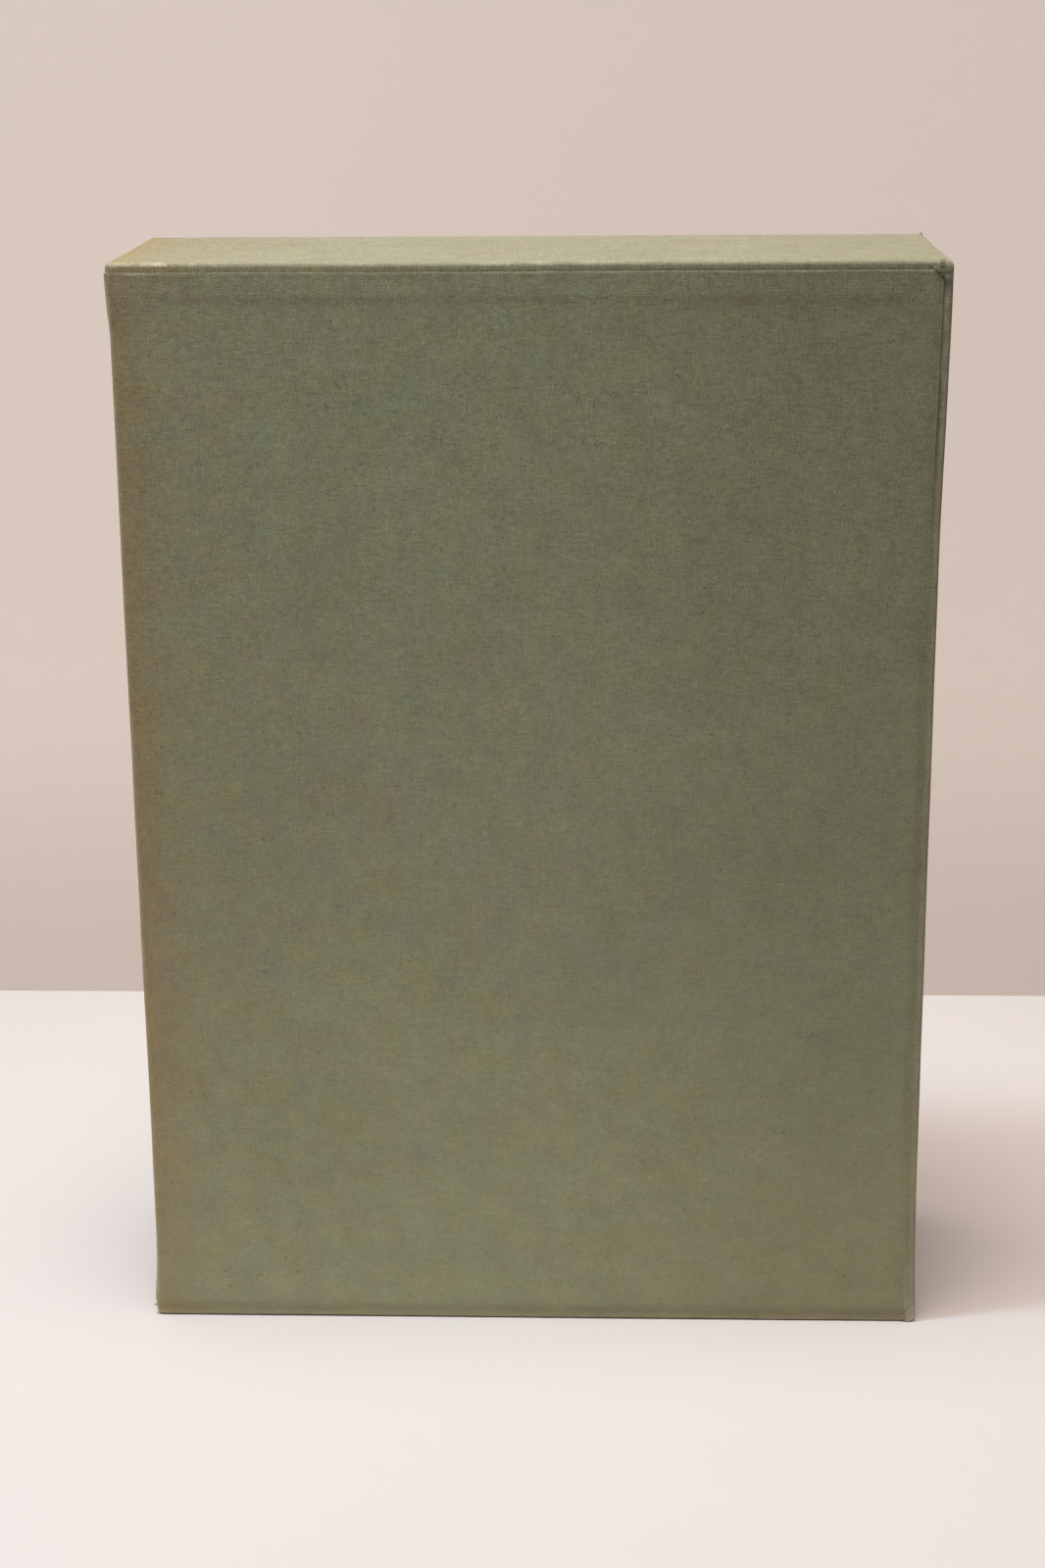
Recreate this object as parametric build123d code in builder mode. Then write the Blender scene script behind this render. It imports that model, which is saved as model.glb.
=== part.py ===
from build123d import *
import os

os.makedirs("parts", exist_ok=True)

# A cloth-covered book slipcase, in millimetres. It stands on its tail, with its mouth
# towards -X, its closed spine towards +X and its front side towards -Y.

# Space for the books
cavity_depth = 205.6  # from the boards' edges at the mouth to the lined spine board
cavity_height = 283.8  # between the lined tail and head boards
cavity_thickness = 62.0  # between the lined side boards

# Materials
board_thickness = 3.0
board_edge_radius = 0.8  # the boards' outer edges are eased before covering
board_corner_radius = 2.0  # the four corners of the case's outline
lining_thickness = 0.2
cloth_thickness = 0.4

# The edge strip, one length of cloth round the head, spine and tail
turn_over = 9.5  # how far it is turned over onto each side
strip_turn_in = 12.0  # how far each end is turned in at the mouth
tuck_depth = 4.5  # how far the tuck at each spine corner runs along the spine edge
tuck_edge = 0.9  # how far the tuck stays inside the outline, where it rolls over the edge
notch_width = 1.0  # the mitre notch in the turn-over, at its open end
notch_depth = 4.6  # how far the notch runs towards the corner, along each side

# The side cloths, each one sheet over a side board and round its mouth edge
side_inset = 2.5  # strip left bare along the head, spine and tail
side_turn_in = 12.0  # how far the sheet is turned in at the mouth
corner_clip = 3.5  # the corners cut off at the spine
turn_in_mitre = 3.0  # the corners cut off inside the mouth
step_slope = 1.2  # how far the sheet takes to come down off the turn-over

# Folds and clearances
lip_radius = 0.3  # outside of a fold round a board's square inner edge
tuck_gap = 0.15  # between a tuck and the side cloth's cut corner
turn_in_gap = 0.4  # between the turned-in cloths inside the mouth

# The boards' outer faces. The case is centred on the origin and stands at Z 0, with one
# cloth outside its head, tail and spine, and two cloths outside its sides and mouth.
case_width = cavity_depth + lining_thickness + board_thickness
case_height = cavity_height + 2 * (lining_thickness + board_thickness)
case_thickness = cavity_thickness + 2 * (lining_thickness + board_thickness)
overall_width = case_width + 3 * cloth_thickness
overall_height = case_height + 2 * cloth_thickness
mouth_x = -overall_width / 2 + 2 * cloth_thickness
spine_x = mouth_x + case_width
front_y = -case_thickness / 2
back_y = case_thickness / 2
tail_z = cloth_thickness
head_z = tail_z + case_height

# The boards' inner faces
spine_board_x = spine_x - board_thickness
front_board_y = front_y + board_thickness
back_board_y = back_y - board_thickness
tail_board_z = tail_z + board_thickness
head_board_z = head_z - board_thickness

# The lining's faces
spine_lining_x = spine_board_x - lining_thickness
front_lining_y = front_board_y + lining_thickness
back_lining_y = back_board_y - lining_thickness
floor_z = tail_board_z + lining_thickness
ceiling_z = head_board_z - lining_thickness

# The edge strip's outer faces, and the edges of its turn-over
strip_mouth_x = mouth_x - cloth_thickness
strip_spine_x = spine_x + cloth_thickness
strip_front_y = front_y - cloth_thickness
strip_back_y = back_y + cloth_thickness
strip_edge_radius = board_edge_radius + cloth_thickness
strip_corner_radius = board_corner_radius + cloth_thickness
turn_over_x = strip_spine_x - turn_over
turn_over_low_z = turn_over
turn_over_high_z = overall_height - turn_over
turned_floor_z = floor_z + cloth_thickness
turned_ceiling_z = ceiling_z - cloth_thickness

# The side cloths' edges, and the faces where they lie on the strip
side_mouth_x = strip_mouth_x - cloth_thickness
side_front_y = strip_front_y - cloth_thickness
side_back_y = strip_back_y + cloth_thickness
side_edge_x = strip_spine_x - side_inset
side_low_z = side_inset
side_high_z = overall_height - side_inset
side_turn_in_x = mouth_x + side_turn_in
side_turn_in_y = front_lining_y + cloth_thickness
mid_height = Plane.XY.offset(overall_height / 2)


def span_box(low, high, mode=Mode.ADD):
    """A box between two opposite corners, in the part that is open."""
    size = Vector(*high) - Vector(*low)
    with Locations(Vector(*low) + size / 2):
        Box(size.X, size.Y, size.Z, mode=mode)


def rounded_block(low, high, corner_radius, edge_radius):
    """A box with the four corners of its outline rounded, and then the edges of its sides."""
    with BuildPart() as block:
        span_box(low, high)
        fillet(block.edges().filter_by(Axis.Y), radius=corner_radius)
        fillet(block.faces().filter_by(Axis.Y).edges(), radius=edge_radius)
    return block.part


# The outsides of the boards, of the edge strip, and of the strip where it is double
boards_block = rounded_block(
    (mouth_x, front_y, tail_z),
    (spine_x, back_y, head_z),
    board_corner_radius,
    board_edge_radius,
)
strip_block = rounded_block(
    (strip_mouth_x, strip_front_y, 0),
    (strip_spine_x, strip_back_y, overall_height),
    strip_corner_radius,
    strip_edge_radius,
)
double_block = rounded_block(
    (strip_mouth_x, side_front_y, 0),
    (strip_spine_x, side_back_y, overall_height),
    strip_corner_radius,
    strip_edge_radius + cloth_thickness,
)

# Side boards, over the full outline of the case
with BuildPart() as front_board:
    add(boards_block)
    span_box((mouth_x, front_y, tail_z), (spine_x, front_board_y, head_z), Mode.INTERSECT)

with BuildPart() as back_board:
    mirror(front_board.part, about=Plane.XZ)

# Spine board, full height between the sides
with BuildPart() as spine_board:
    add(boards_block)
    span_box(
        (spine_board_x, front_board_y, tail_z),
        (spine_x, back_board_y, head_z),
        Mode.INTERSECT,
    )

# Tail and head boards, between the sides and against the spine board
with BuildPart() as tail_board:
    add(boards_block)
    span_box(
        (mouth_x, front_board_y, tail_z),
        (spine_board_x, back_board_y, tail_board_z),
        Mode.INTERSECT,
    )

with BuildPart() as head_board:
    mirror(tail_board.part, about=mid_height)

# Lining papers: the side papers run into the corners, the spine paper stands between them,
# and the tail and head papers butt against it
with BuildPart() as front_lining:
    span_box(
        (mouth_x, front_board_y, tail_board_z),
        (spine_board_x, front_lining_y, head_board_z),
    )

with BuildPart() as back_lining:
    mirror(front_lining.part, about=Plane.XZ)

with BuildPart() as spine_lining:
    span_box(
        (spine_lining_x, front_lining_y, tail_board_z),
        (spine_board_x, back_lining_y, head_board_z),
    )

with BuildPart() as tail_lining:
    span_box(
        (mouth_x, front_lining_y, tail_board_z),
        (spine_lining_x, back_lining_y, floor_z),
    )

with BuildPart() as head_lining:
    mirror(tail_lining.part, about=mid_height)

# The folded tucks that take up the strip's spare cloth at the spine corners. They lie on
# its turn-over, one more cloth out, and end along the cut corners of the side cloths.
cut_corner = 2 * side_inset + corner_clip
tuck_reach = cut_corner - tuck_gap * 2**0.5
with BuildPart() as corner_tucks:
    add(double_block)
    with BuildSketch(Plane.XZ) as tuck_outlines:
        with BuildLine():
            Polyline(
                (strip_spine_x - tuck_edge, tuck_edge),
                (strip_spine_x - tuck_reach + tuck_edge, tuck_edge),
                (strip_spine_x - tuck_reach + tuck_depth, tuck_depth),
                (strip_spine_x - tuck_edge, tuck_depth),
                close=True,
            )
        make_face()
        mirror(about=Plane.XZ.offset(-overall_height / 2))
    extrude(amount=overall_width, both=True, mode=Mode.INTERSECT)

# The mitre notches that let the turn-over lie flat at the spine corners
with BuildPart() as notches:
    with BuildSketch(Plane.XZ) as notch_outlines:
        with BuildLine():
            Polyline(
                (turn_over_x - notch_width / 2, turn_over_low_z + notch_width / 2),
                (turn_over_x, turn_over_low_z - notch_width / 2),
                (turn_over_x + notch_depth, turn_over_low_z - notch_depth),
                (turn_over_x + notch_width / 2, turn_over_low_z),
                close=True,
            )
        make_face()
        mirror(about=Plane.XZ.offset(-overall_height / 2))
    extrude(amount=overall_width, both=True)

# The edge strip: its web covers the head, spine and tail, its edges are turned over onto
# the sides, and its ends go round the boards' mouth edges and in over the lining
with BuildPart() as edge_strip:
    add(strip_block)
    add(corner_tucks.part)
    add(boards_block, mode=Mode.SUBTRACT)
    span_box(
        (strip_mouth_x, side_front_y, turn_over_low_z),
        (turn_over_x, side_back_y, turn_over_high_z),
        Mode.SUBTRACT,
    )
    span_box(
        (strip_mouth_x, front_lining_y, turned_floor_z),
        (mouth_x, back_lining_y, turned_ceiling_z),
        Mode.SUBTRACT,
    )
    for low_z in (floor_z, turned_ceiling_z):
        span_box(
            (mouth_x, front_lining_y, low_z),
            (mouth_x + strip_turn_in, back_lining_y, low_z + cloth_thickness),
        )
    add(notches.part, mode=Mode.SUBTRACT)
    mouth_edges = edge_strip.edges().filter_by(Axis.Y).group_by(Axis.X)[0]
    inner_edges = mouth_edges.filter_by_position(Axis.Z, floor_z, ceiling_z)
    fillet(inner_edges.group_by(SortBy.LENGTH)[-1], radius=lip_radius)


def side_outline(layers, level):
    """All that the front side cloth's outer face encloses at a height, seen from above,
    where that face lies so many cloths out from the boards."""
    face_x = mouth_x - layers * cloth_thickness
    face_y = front_y - layers * cloth_thickness
    with BuildSketch(Plane.XY.offset(level)) as outline:
        with BuildLine():
            Polyline(
                (side_edge_x, face_y),
                (face_x, face_y),
                (face_x, side_turn_in_y),
                (side_turn_in_x, side_turn_in_y),
                (side_turn_in_x, front_y),
                (side_edge_x, front_y),
                close=True,
            )
        make_face()
        lip = outline.vertices().group_by(Axis.X)[0].sort_by(Axis.Y)[-1]
        fillet(lip, radius=lip_radius)
        corner = outline.vertices().group_by(Axis.X)[0].sort_by(Axis.Y)[0]
        fillet(corner, radius=board_edge_radius + layers * cloth_thickness)
    return outline.sketch


# The front side cloth. It lies on the strip's turn-over along the head, tail and spine,
# comes down off it onto the bare board, and goes round the mouth edge and in.
with BuildPart() as front_side_cloth:
    extrude(side_outline(2, side_low_z), amount=turn_over_low_z - side_low_z)
    extrude(side_outline(2, turn_over_high_z), amount=side_high_z - turn_over_high_z)
    foot_low_z = turn_over_low_z + step_slope
    foot_high_z = turn_over_high_z - step_slope
    extrude(side_outline(1, foot_low_z), amount=foot_high_z - foot_low_z)
    loft([side_outline(2, turn_over_low_z), side_outline(1, foot_low_z)], ruled=True)
    loft([side_outline(1, foot_high_z), side_outline(2, turn_over_high_z)], ruled=True)
    with BuildSketch(Plane.XY.offset(side_low_z)) as spine_step:
        with BuildLine():
            Polyline(
                (side_edge_x, front_y),
                (side_edge_x, side_front_y),
                (turn_over_x, side_front_y),
                (turn_over_x - step_slope, strip_front_y),
                (turn_over_x - step_slope, front_y),
                close=True,
            )
        make_face()
    extrude(amount=side_high_z - side_low_z)
    add(front_board.part, mode=Mode.SUBTRACT)
    add(front_lining.part, mode=Mode.SUBTRACT)
    add(edge_strip.part, mode=Mode.SUBTRACT)
    with BuildSketch(Plane.XZ) as corner_cuts:
        with BuildLine():
            Polyline(
                (side_edge_x, side_low_z),
                (side_edge_x - corner_clip, side_low_z),
                (side_edge_x, side_low_z + corner_clip),
                close=True,
            )
        make_face()
        mirror(about=Plane.XZ.offset(-overall_height / 2))
    extrude(amount=overall_width, both=True, mode=Mode.SUBTRACT)
    with BuildSketch(Plane.XZ.offset(-front_board_y)) as turn_in_cuts:
        with BuildLine():
            Polyline(
                (side_mouth_x, side_low_z),
                (side_turn_in_x, side_low_z),
                (side_turn_in_x, turned_floor_z + turn_in_gap + turn_in_mitre),
                (side_turn_in_x - turn_in_mitre, turned_floor_z + turn_in_gap),
                (side_mouth_x, turned_floor_z + turn_in_gap),
                close=True,
            )
        make_face()
        mirror(about=Plane.XZ.offset(-overall_height / 2))
    extrude(amount=-cavity_thickness, mode=Mode.SUBTRACT)

with BuildPart() as back_side_cloth:
    mirror(front_side_cloth.part, about=Plane.XZ)

pieces = {
    "front_board": front_board,
    "back_board": back_board,
    "spine_board": spine_board,
    "head_board": head_board,
    "tail_board": tail_board,
    "front_lining": front_lining,
    "back_lining": back_lining,
    "spine_lining": spine_lining,
    "head_lining": head_lining,
    "tail_lining": tail_lining,
    "edge_strip": edge_strip,
    "front_side_cloth": front_side_cloth,
    "back_side_cloth": back_side_cloth,
}
for name, piece in pieces.items():
    piece.part.label = name
    export_step(piece.part, f"parts/{name}.step")
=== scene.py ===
import math

import bpy
import numpy as np
from bpy.props import FloatProperty, FloatVectorProperty, IntProperty, PointerProperty
from bpy.types import Operator, Panel, PropertyGroup
from mathutils import Euler, Matrix, Vector, noise


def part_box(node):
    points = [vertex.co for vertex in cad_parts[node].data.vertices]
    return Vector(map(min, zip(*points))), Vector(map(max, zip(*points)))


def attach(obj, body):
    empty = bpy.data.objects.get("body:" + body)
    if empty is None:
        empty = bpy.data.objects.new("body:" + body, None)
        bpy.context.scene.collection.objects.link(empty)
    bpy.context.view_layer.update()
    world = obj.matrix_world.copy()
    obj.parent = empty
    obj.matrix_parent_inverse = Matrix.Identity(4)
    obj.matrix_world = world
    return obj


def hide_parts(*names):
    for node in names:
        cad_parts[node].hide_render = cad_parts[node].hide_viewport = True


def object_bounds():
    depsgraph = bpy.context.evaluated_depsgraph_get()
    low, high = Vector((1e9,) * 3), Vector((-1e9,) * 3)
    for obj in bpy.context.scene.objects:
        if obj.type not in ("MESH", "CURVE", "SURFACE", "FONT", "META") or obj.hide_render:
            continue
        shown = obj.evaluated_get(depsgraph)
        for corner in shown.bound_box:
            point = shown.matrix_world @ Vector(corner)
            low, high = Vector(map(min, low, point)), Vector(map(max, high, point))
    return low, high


bl_info = {
    "name": "Book slipcase",
    "version": (1, 0, 0),
    "blender": (4, 5, 0),
    "location": "3D View > Sidebar > Slipcase",
    "description": "Covers a packed slipcase in worn book cloth and lights it",
    "category": "Object",
}

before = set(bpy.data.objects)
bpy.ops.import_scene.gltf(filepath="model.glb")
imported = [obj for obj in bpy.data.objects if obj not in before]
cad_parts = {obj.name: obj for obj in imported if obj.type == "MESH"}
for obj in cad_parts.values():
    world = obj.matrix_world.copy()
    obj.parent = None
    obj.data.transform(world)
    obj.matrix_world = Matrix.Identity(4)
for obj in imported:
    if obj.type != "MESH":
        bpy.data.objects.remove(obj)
case_low, case_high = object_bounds()

MM = 0.001
RIGHT_ANGLE = math.radians(90)
SMOOTH_BELOW = math.radians(60)

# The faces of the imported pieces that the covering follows, in metres
board_low, board_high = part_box("front_board")
strip_low, strip_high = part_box("edge_strip")
side_low, side_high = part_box("front_side_cloth")
mouth_x, front_y, tail_z = board_low
spine_x, _, head_z = board_high
lined_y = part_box("front_lining")[1].y
floor_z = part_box("tail_lining")[1].z
ceiling_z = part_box("head_lining")[0].z
cloth = tail_z - strip_low.z
case_middle = (case_low + case_high) / 2
case_half = (case_high - case_low) / 2


def picked(red, green, blue):
    """A colour picked on a screen, as the linear light that materials mix."""
    shares = (red / 255, green / 255, blue / 255)
    return tuple(c / 12.92 if c <= 0.04045 else ((c + 0.055) / 1.055) ** 2.4 for c in shares)


def length(name, description, millimetres):
    return FloatProperty(name=name, description=description, default=millimetres * MM, unit="LENGTH")


def share(name, description, value):
    return FloatProperty(name=name, description=description, default=value, min=0, subtype="FACTOR")


def colour(name, description, red, green, blue):
    return FloatVectorProperty(
        name=name, description=description, default=picked(red, green, blue),
        size=3, min=0, max=1, subtype="COLOR",
    )


def turn(name, description, degrees):
    return FloatProperty(name=name, description=description, default=math.radians(degrees), unit="ROTATION")


def power(name, description, watts):
    return FloatProperty(name=name, description=description, default=watts, min=0, unit="POWER")


class ClothSizes(PropertyGroup):
    """How the book cloth is cut and folded."""

    turn_over: length("Turn-over", "How far the edge strip is turned onto each side", 9.5)
    strip_turn_in: length("Strip turn-in", "How far the edge strip goes into the mouth", 12)
    side_turn_in: length("Side turn-in", "How far a side cloth goes into the mouth", 12)
    thread_pitch: length("Thread pitch", "From one thread of the weave to the next", 0.547)
    edge_radius: length("Board edge", "Rounding of the boards along their edges", 0.8)
    corner_radius: length("Tail corner", "Rounding of the covered outline at the tail's corners", 1.6)
    head_radius: length("Head corner", "The same where spine and head meet", 1.5)
    mouth_radius: length("Mouth corner", "The same where mouth and head meet", 0.8)
    head_clip: length("Head clip", "Cut off each side cloth's corner where spine and head meet", 2.3)
    tail_clip: length("Tail clip", "The same where spine and tail meet", 0.9)
    turn_in_mitre: length("Turn-in mitre", "Cut off each side cloth inside the mouth", 3)
    head_step: length("Head step", "How far a side cloth takes to come off the turn-over", 3)
    soft_step: length("Soft step", "The same at the spine, the tail and the mouth edge", 7)
    infill: share("Infill", "How much of a cloth's thickness fills the hollow beside the turn-over", 0.45)
    mouth_ear: length("Mouth ear", "How much further the strip is doubled along the mouth edge", 5)
    tuck_depth: length("Tuck depth", "How far a corner tuck runs along the spine edge", 4.8)
    tuck_edge: length("Tuck edge", "How far a corner tuck stays inside the outline", 0.5)
    tuck_gap: length("Tuck gap", "Between a corner tuck and the side cloth's clipped corner", 0.25)
    fine: length("Fine mesh", "Mesh spacing at folds and cut edges", 0.3)
    coarse: length("Coarse mesh", "Mesh spacing on the flat faces", 4)


class WearSizes(PropertyGroup):
    """How use has changed the case."""

    mouth_flare: length("Mouth flare", "How far the mouth's head corners are knocked out", 0.5)
    mouth_flare_height: length("Mouth flare height", "How far down that reaches", 20)
    tail_flare: length("Tail flare", "How far the mouth's tail corners are knocked out", 0.9)
    tail_flare_height: length("Tail flare height", "How far up that reaches", 30)
    head_flare: length("Spine's head", "How far the spine's head stands out past its middle", 1.05)
    head_flare_height: length("Spine's head height", "How far down that reaches", 85)
    foot_flare: length("Spine's foot", "How far the spine's foot stands out past its middle", 1.2)
    foot_flare_height: length("Spine's foot height", "How far up that falls to a third", 25)
    edge_reach: length("Edge reach", "How far into the faces the corners' movement goes", 30)
    wander: length("Wander", "How far edges stray from true", 0.12)
    dents: length("Dents", "How deep the edges are dented", 0.16)
    rub_width: length("Rub width", "How wide the edges are rubbed pale", 0.8)
    corner_rub: length("Corner rub", "How far the rubbing reaches round a corner", 3.2)
    fray_length: length("Fray", "Length of the loose threads at the corners", 0.9)
    fray_count: IntProperty(name="Loose threads", description="How many stand out at a corner", default=9)


class Colours(PropertyGroup):
    """The dyes and papers."""

    cloth_green: colour("Cloth", "The sage green of the book cloth", 156, 156, 116)
    cloth_cool: colour("Cooler cloth", "Its bluer patches", 148, 154, 125)
    cloth_grey: colour("Greyer cloth", "Its greyer patches", 153, 149, 125)
    # The greyer colour that the cloth takes towards the spine
    cloth_spine_grey: colour("Spine-side cloth", "Where the cloth is greyer towards the spine", 143, 145, 113)
    cloth_faded: colour("Faded cloth", "Where light from above has bleached it", 156, 151, 125)
    cloth_brown: colour("Toned cloth", "Where air has browned it", 160, 140, 101)
    # cloth_pale also colours the painted highlight under the side cloths' top cut edges
    cloth_pale: colour("Rubbed cloth", "Where it is rubbed to the undyed thread", 230, 221, 188)
    # cloth_dark also colours the painted shade on the spine's edges; along the cut edges it gives dark seam
    # lines
    cloth_dark: colour("Dark seams and shade", "What has gathered along the cut edges", 62, 56, 42)
    stain: colour("Stain", "A few rusty marks", 132, 96, 72)
    raw_edge: colour("Raw edge", "The threads of a cut edge", 205, 197, 164)
    board: colour("Board", "Grey pulp board", 148, 140, 124)
    paper: colour("Lining", "The lining paper", 226, 217, 192)
    paper_toned: colour("Toned lining", "Where air has browned it", 196, 172, 128)
    floor: colour("Floor", "The pale floor", 227, 220, 217)
    wall: colour("Wall", "The backdrop's own colour, which its glow makes paler", 152, 140, 132)
    room: colour("Room light", "The colour of the light from all around", 243, 230, 255)


class StageSizes(PropertyGroup):
    """The camera and the lamps."""

    camera_place: FloatVectorProperty(
        name="Camera", description="Where the camera stands",
        default=(0.02397, -0.71170, 0.35875), subtype="TRANSLATION",
    )
    camera_pitch: turn("Pitch", "How far the camera looks down", 16.687)
    camera_yaw: turn("Yaw", "How far it turns towards the mouth", 2.172)
    camera_roll: turn("Roll", "How far it leans", -0.49)
    camera_lens: FloatProperty(name="Lens", description="Focal length", default=61.863, unit="CAMERA")
    stage_width: length("Stage", "Width of the floor and of the backdrop", 6000)
    wall_place: length("Wall", "How far the backdrop stands behind the case's middle", 216)
    top_light: power("Top light", "The soft light overhead, which is shaded at its sides", 3.35)
    left_light: power("Left light", "The smaller light at the left, which casts the shadow", 5.4)
    room_light: share("Room light", "Light from all around", 0.14)
    wall_glow: share("Wall glow", "How bright the backdrop looks to the camera", 1.57)
    wall_cast: share("Wall light", "How much of the backdrop's glow also lights things", 0.4)


class SlipcaseSettings(PropertyGroup):
    """All that a user would change."""

    sizes: PointerProperty(type=ClothSizes)
    wear: PointerProperty(type=WearSizes)
    colours: PointerProperty(type=Colours)
    stage: PointerProperty(type=StageSizes)


def settings():
    return bpy.context.scene.slipcase


# Scales of the patterns in the materials, in waves to the metre

WIDE_CLOUDS = 22
CLOSE_CLOUDS = 120
STREAKS_IN_WEFT = (900, 130, 1)
STREAKS_IN_WARP = (150, 900, 1)
HUE_PATCHES = 85
GREY_PATCHES = 95
SPECKS = 900
SPECK_GROUPS = 160
RUBBED_PATCHES = 150
RUBBED_STRETCHES = 32
THREAD_FUZZ = 2600
CUT_ENDS = 1900
BOARD_PULP = 350
BOARD_FIBRES = (900, 300, 140)
LAID_LINES = 1 / MM
PAPER_FIBRES = 420
PAPER_COCKLE = 45
PAPER_FOXING = 210
STAGE_CLOUDS = 9


# Node trees

class NodeTable:
    """Adds nodes to a tree. Each input is given a number, a colour or another node's socket."""

    def __init__(self, tree):
        self.tree = tree

    def add(self, kind, inputs=(), **choices):
        node = self.tree.nodes.new(kind)
        for name, choice in choices.items():
            setattr(node, name, choice)
        self.feed_all(node.inputs, inputs)
        return node

    def feed(self, socket, value):
        if isinstance(value, bpy.types.NodeSocket):
            self.tree.links.new(value, socket)
        elif socket.type == "RGBA":
            socket.default_value = (*value, 1.0)
        else:
            socket.default_value = value

    def feed_all(self, sockets, values):
        for name, value in dict(values).items():
            self.feed(sockets[name], value)

    def math(self, operation, *values, clamp=False):
        choices = {"operation": operation, "use_clamp": clamp}
        return self.add("ShaderNodeMath", enumerate(values), **choices).outputs[0]

    def times(self, first, second, clamp=False):
        return self.math("MULTIPLY", first, second, clamp=clamp)

    def line(self, value, slope, start):
        """The value times a slope, on top of a start."""
        return self.math("MULTIPLY_ADD", value, slope, start)

    def plus(self, first, second):
        return self.math("ADD", first, second)

    def minus(self, first, second):
        return self.math("SUBTRACT", first, second)

    def most(self, first, second):
        return self.math("MAXIMUM", first, second)

    def vector(self, operation, *values):
        node = self.add("ShaderNodeVectorMath", enumerate(values), operation=operation)
        return node.outputs["Value" if operation == "LENGTH" else "Vector"]

    def scaled(self, vector, scale):
        return self.add("ShaderNodeVectorMath", {0: vector, "Scale": scale}, operation="SCALE").outputs[0]

    def split(self, vector):
        return self.add("ShaderNodeSeparateXYZ", {"Vector": vector}).outputs

    def joined(self, x, y, z):
        return self.add("ShaderNodeCombineXYZ", {"X": x, "Y": y, "Z": z}).outputs[0]

    def mix(self, factor, first, second, blend="MIX"):
        choices = {"data_type": "RGBA", "blend_type": blend, "clamp_factor": True}
        return self.add("ShaderNodeMix", {0: factor, 6: first, 7: second}, **choices).outputs[2]

    def shaded(self, base, level):
        """A colour made darker or lighter by a level."""
        return self.mix(1.0, base, self.joined(level, level, level), blend="MULTIPLY")

    def ramp(self, value, low, high, start=0.0, end=1.0):
        """The value's share of the way from low to high, eased at both ends."""
        inputs = {"Value": value, "From Min": low, "From Max": high, "To Min": start, "To Max": end}
        return self.add("ShaderNodeMapRange", inputs, interpolation_type="SMOOTHSTEP").outputs[0]

    def noise(self, vector, scale, detail=2.0, roughness=0.5):
        inputs = {"Vector": vector, "Scale": scale, "Detail": detail, "Roughness": roughness}
        return self.add("ShaderNodeTexNoise", inputs).outputs["Fac"]

    def bump(self, height, strength, depth):
        inputs = {"Height": height, "Strength": strength, "Distance": depth}
        return self.add("ShaderNodeBump", inputs).outputs[0]

    def attribute(self, name):
        return self.add("ShaderNodeAttribute", attribute_name=name).outputs["Fac"]

    def place(self):
        """The point's place, from the middle of the case."""
        here = self.add("ShaderNodeTexCoord").outputs["Object"]
        return self.add("ShaderNodeMapping", {"Vector": here, "Location": -case_middle}).outputs[0]

    def group(self, name, inputs):
        return self.add("ShaderNodeGroup", inputs, node_tree=bpy.data.node_groups[name]).outputs


def new_group(name, inputs, outputs):
    """An empty node group, as a table with its input sockets and its output sockets."""
    tree = bpy.data.node_groups.new(name, "ShaderNodeTree")
    for side, sockets in (("INPUT", inputs), ("OUTPUT", outputs)):
        for socket, kind in sockets.items():
            tree.interface.new_socket(socket, in_out=side, socket_type="NodeSocket" + kind)
    given = tree.nodes.new("NodeGroupInput").outputs
    result = tree.nodes.new("NodeGroupOutput").inputs
    return NodeTable(tree), given, result


def weave_group():
    """Plain weave: how high the threads stand, how each one is shaded, and which are weft.

    It counts in threads. A thread's shade changes slowly along it, and each has its own."""
    inputs = {"Threads": "Vector", "Pitch": "Float", "Waver": "Float"}
    outputs = {"Height": "Float", "Shade": "Float", "Weft": "Float"}
    table, given, result = new_group("Plain weave", inputs, outputs)
    drift_waves, shade_waves, next_thread, next_set = 0.11, 0.3, 1.37, 7
    counted = table.scaled(given["Threads"], table.math("DIVIDE", 1.0, given["Pitch"]))
    drift = table.add("ShaderNodeTexNoise", {"Vector": counted, "Scale": drift_waves, "Detail": 1.0})
    centred = table.vector("SUBTRACT", drift.outputs["Color"], (0.5, 0.5, 0.5))
    parts = table.split(table.vector("ADD", counted, table.scaled(centred, given["Waver"])))
    heights, shades = [], []
    for along, across, rise in ((parts["Y"], parts["X"], 0.5), (parts["X"], parts["Y"], -0.5)):
        index = table.math("FLOOR", across)
        round_top = table.math("ABSOLUTE", table.math("SINE", table.times(across, math.pi)))
        phase = table.times(table.plus(along, index), math.pi)
        over = table.line(table.math("SINE", phase), rise, 0.5)
        heights.append(table.times(round_top, over))
        seed = table.times(index, next_thread + rise)
        spot = table.joined(table.times(along, shade_waves), seed, next_set * rise)
        shades.append(table.noise(spot, 1.0, 2.0, 0.6))
    weft = table.math("GREATER_THAN", heights[1], heights[0])
    shade = table.line(table.minus(shades[1], shades[0]), weft, shades[0])
    table.feed_all(result, {"Height": table.most(*heights), "Shade": shade, "Weft": weft})


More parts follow.
